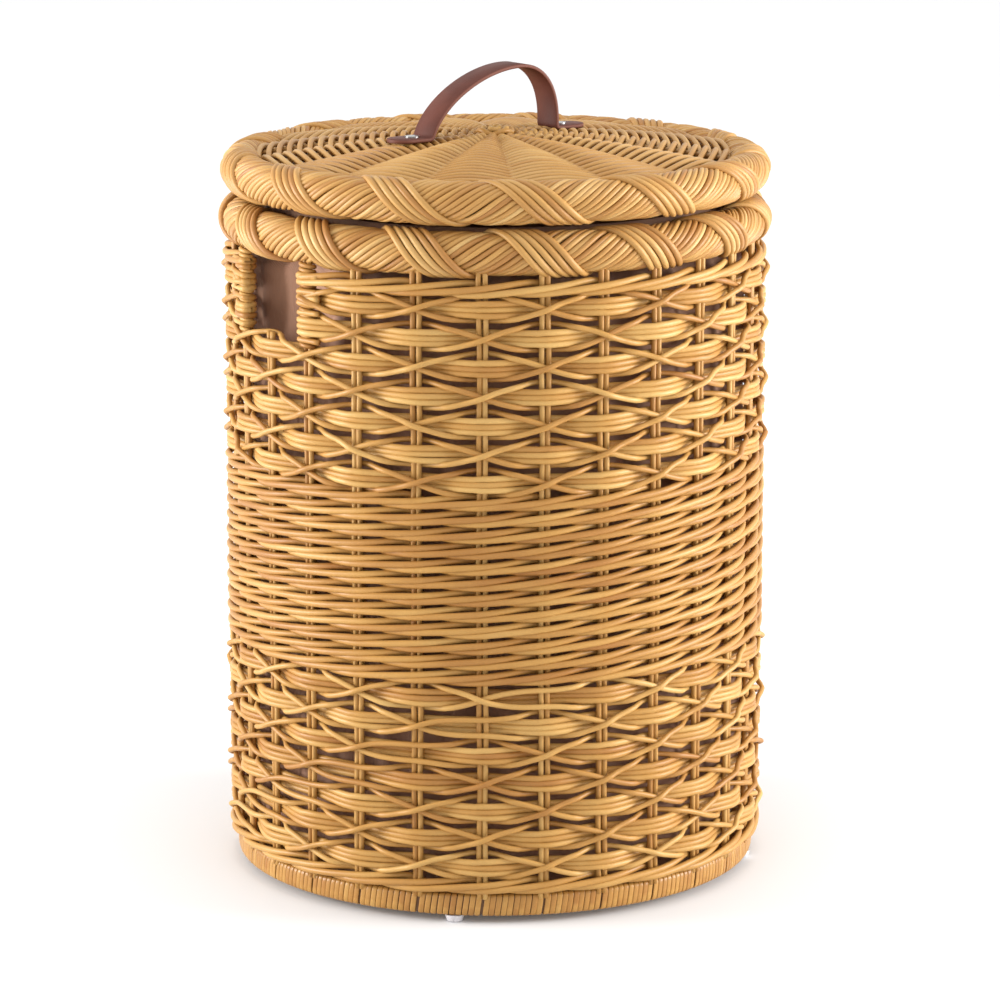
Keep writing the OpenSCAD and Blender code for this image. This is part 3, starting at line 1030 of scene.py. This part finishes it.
def cubic(a, b, c, d, t):
    """Points on a curve from a to d, pulled toward b and c."""
    t = t[:, None]
    return (1 - t) ** 3 * a + 3 * (1 - t) ** 2 * t * b + 3 * (1 - t) * t**2 * c + t**3 * d


def smoothed(values, width):
    """Values averaged with their neighbours. The ends stay in place."""
    kernel = np.hanning(width) / np.hanning(width).sum()
    half = width // 2
    before = 2 * values[0] - values[half:0:-1]
    after = 2 * values[-1] - values[-2:-2 - half:-1]
    return np.convolve(np.concatenate([before, values, after]), kernel, mode="valid")


def strap_line(thick, level, count):
    """The middle line of the strap in x and z: a flat end, a bend, the arch, a bend and a flat end."""
    left, right = np.array([high("tab_left")[0], level]), np.array([low("tab_right")[0], level])
    top = np.array([0.016, high("strap")[2] - thick / 2])
    rise = np.linspace(0, 1, 60)
    ends = np.linspace(0, 1, 40)[:, None]
    line = np.concatenate([
        (np.array([low("tab_left")[0], level]) * (1 - ends) + left * ends)[:-1],
        cubic(left, left + (0.008, 0.026), top - (0.034, 0), top, rise),
        cubic(top, top + (0.020, 0), right + (0.002, 0.034), right, rise)[1:],
        (right * (1 - ends) + np.array([high("tab_right")[0], level]) * ends)[1:],
    ])
    distance = steps_along(line)
    even = np.linspace(0, distance[-1], count)
    return np.stack([smoothed(np.interp(even, distance, line[:, k]), 11) for k in (0, 1)], -1), even


# The strap's section, once round: side, height in half thicknesses, inset, and 1 where it is cut edge
STRAP_ROUND = 0.0006
STRAP_SECTION = [(1, 1, STRAP_ROUND, 0), (1, 0.62, 0, 1), (1, -0.62, 0, 1), (1, -1, STRAP_ROUND, 0),
                 (-1, -1, STRAP_ROUND, 0), (-1, -0.62, 0, 1), (-1, 0.62, 0, 1), (-1, 1, STRAP_ROUND, 0)]


def strap():
    """The leather strap with a flat round end under each rivet and the arch of the handle."""
    tab_lo, tab_hi = low("tab_left"), high("tab_left")
    thick, half = tab_hi[2] - tab_lo[2], tab_hi[1]
    line, even = strap_line(thick, (tab_lo[2] + tab_hi[2]) / 2, 260)
    along = np.gradient(line, axis=0)
    along /= np.linalg.norm(along, axis=1, keepdims=True)
    from_end = np.minimum(even, even[-1] - even)
    round_end = np.sqrt(np.maximum(half**2 - (half - from_end) ** 2, 1e-8))
    wide = np.where(from_end < half, round_end, half)
    corners = []
    for side, height, inset, _ in STRAP_SECTION:
        x = line[:, 0] - along[:, 1] * height * thick / 2
        y = side * np.maximum(wide - inset, 0.0001)
        z = line[:, 1] + along[:, 0] * height * thick / 2
        corners.append(np.stack([x, y, z], -1))
    n, sides = len(line), len(STRAP_SECTION)
    caps = [list(range(sides - 1, -1, -1)), list(range((n - 1) * sides, n * sides))]
    edge = np.tile([cut for *_, cut in STRAP_SECTION], n)
    piece = build("leather_strap", np.stack(corners, 1).reshape(-1, 3), grid_faces(n, sides), caps, edge=edge)
    finish_piece(piece, LEATHER, None, ("strap", "tab_left", "tab_right"))
    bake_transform(piece)


# ---------------------------------------------------------------- CAD nodes that stay


def paint(material, *nodes):
    """Gives CAD nodes a material."""
    for node in nodes:
        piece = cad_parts[node]
        piece.data.materials.clear()
        piece.data.materials.append(material)


def carried_over():
    """The CAD pieces that show as they are."""
    # The cores get the dark rattan as painted shade, which shows in the gaps of their wrapping
    paint(CORE_PAINTED_SHADE_RATTAN, "base_hoop", "rim_core", "lid_core")
    paint(STEEL, "rivet_left", "rivet_right", "washer_left", "washer_right", "foot_nails")
    paint(PLASTIC, "foot_front_left", "foot_front_right", "foot_back_left", "foot_back_right")


# ---------------------------------------------------------------- studio


def floor():
    """A plain pale floor with painted shade under the basket: a little less white there, so that its shadow
    shows.
    """
    half = 25.0
    corners = half * np.array([(-1, -1, 0), (1, -1, 0), (1, 1, 0), (-1, 1, 0)])
    piece = build("studio_floor", corners, np.array([[0, 1, 2, 3]]))
    material, shader, add, link = new_material("floor_white_painted_shade")
    place = add("ShaderNodeTexCoord")
    away = add("ShaderNodeVectorMath", operation="LENGTH")
    link(place.outputs["Object"], away.inputs[0])
    reach = add("ShaderNodeMapRange")
    reach.inputs["From Min"].default_value = 0.35
    reach.inputs["From Max"].default_value = 1.6
    link(away.outputs["Value"], reach.inputs["Value"])
    # Painted shade: the floor's colour is darker near the basket, where its shadow falls, and white farther
    # out
    colours = ramp(add, [(0.0, (0.71, 0.715, 0.72)), (1.0, (0.96, 0.96, 0.96))])
    link(reach.outputs["Result"], colours.inputs["Fac"])
    link(colours.outputs["Color"], shader.inputs["Base Color"])
    shader.inputs["Roughness"].default_value = 0.8
    shader.inputs["Emission Color"].default_value = (1, 1, 1, 1)
    shader.inputs["Emission Strength"].default_value = 0.05
    piece.data.materials.append(material)


CAMERA_AZIMUTH = -36.1
CAMERA_DISTANCE = 3.2155
CAMERA_HEIGHT = 0.9812
CAMERA_PITCH = 12.35
SENSOR = 36.0
FOCAL = 153.7


def camera():
    """A long lens at the height and angle that show the basket from above its front."""
    data = bpy.data.cameras.new("camera")
    data.sensor_width = SENSOR
    data.lens = FOCAL
    data.shift_x = 0.005
    data.clip_end = 50
    piece = bpy.data.objects.new("camera", data)
    bpy.context.collection.objects.link(piece)
    yaw = math.radians(CAMERA_AZIMUTH)
    piece.location = (CAMERA_DISTANCE * math.sin(yaw), -CAMERA_DISTANCE * math.cos(yaw), CAMERA_HEIGHT)
    piece.rotation_euler = (math.radians(90 - CAMERA_PITCH), 0, yaw)
    bpy.context.scene.camera = piece


def softbox(name, azimuth, elevation, distance, size, power):
    """A studio light that faces the middle of the basket."""
    data = bpy.data.lights.new(name, "AREA")
    data.shape = "RECTANGLE"
    data.size, data.size_y = size
    data.energy = power
    piece = bpy.data.objects.new(name, data)
    bpy.context.collection.objects.link(piece)
    a, e = math.radians(azimuth), math.radians(elevation)
    middle = (CAD_BOX[0][2] + CAD_BOX[1][2]) / 2
    away = np.array([math.sin(a) * math.cos(e), -math.cos(a) * math.cos(e), math.sin(e)]) * distance
    piece.location = away + (0, 0, middle)
    piece.rotation_euler = (math.radians(90 - elevation), 0, a)


def studio():
    """The floor, a low light on each side, a weak one above and an even white surround."""
    floor()
    softbox("light_left", CAMERA_AZIMUTH - 87, 8, 2.4, (1.2, 1.1), 74)
    softbox("light_right", CAMERA_AZIMUTH + 85, 8, 2.4, (1.2, 1.1), 80)
    softbox("light_top", CAMERA_AZIMUTH + 10, 76, 2.6, (1.4, 1.4), 15)
    world = bpy.data.worlds.new("studio_world")
    world.use_nodes = True
    background = world.node_tree.nodes["Background"]
    background.inputs["Color"].default_value = (1, 1, 1, 1)
    background.inputs["Strength"].default_value = 0.98
    bpy.context.scene.world = world
    bpy.context.scene.view_settings.view_transform = "Standard"


open_band("upper", "upper_openwork", "upper_crossings")
open_band("lower", "lower_openwork", "lower_crossings")
middle_band()
stakes()
single_wales()
hole_bindings()
hoop_wrapping()
rim("basket_rim", "basket", "rim_rope", "rim_wrap", RIM_TURNS, math.radians(4.1))
rim("lid_rim", "lid", "lid_rope", "lid_wrap", LID_TURNS, math.radians(-5.5))
lid_disc()
base_disc()
lid_knot()
liner()
strap()
carried_over()
studio()
camera()
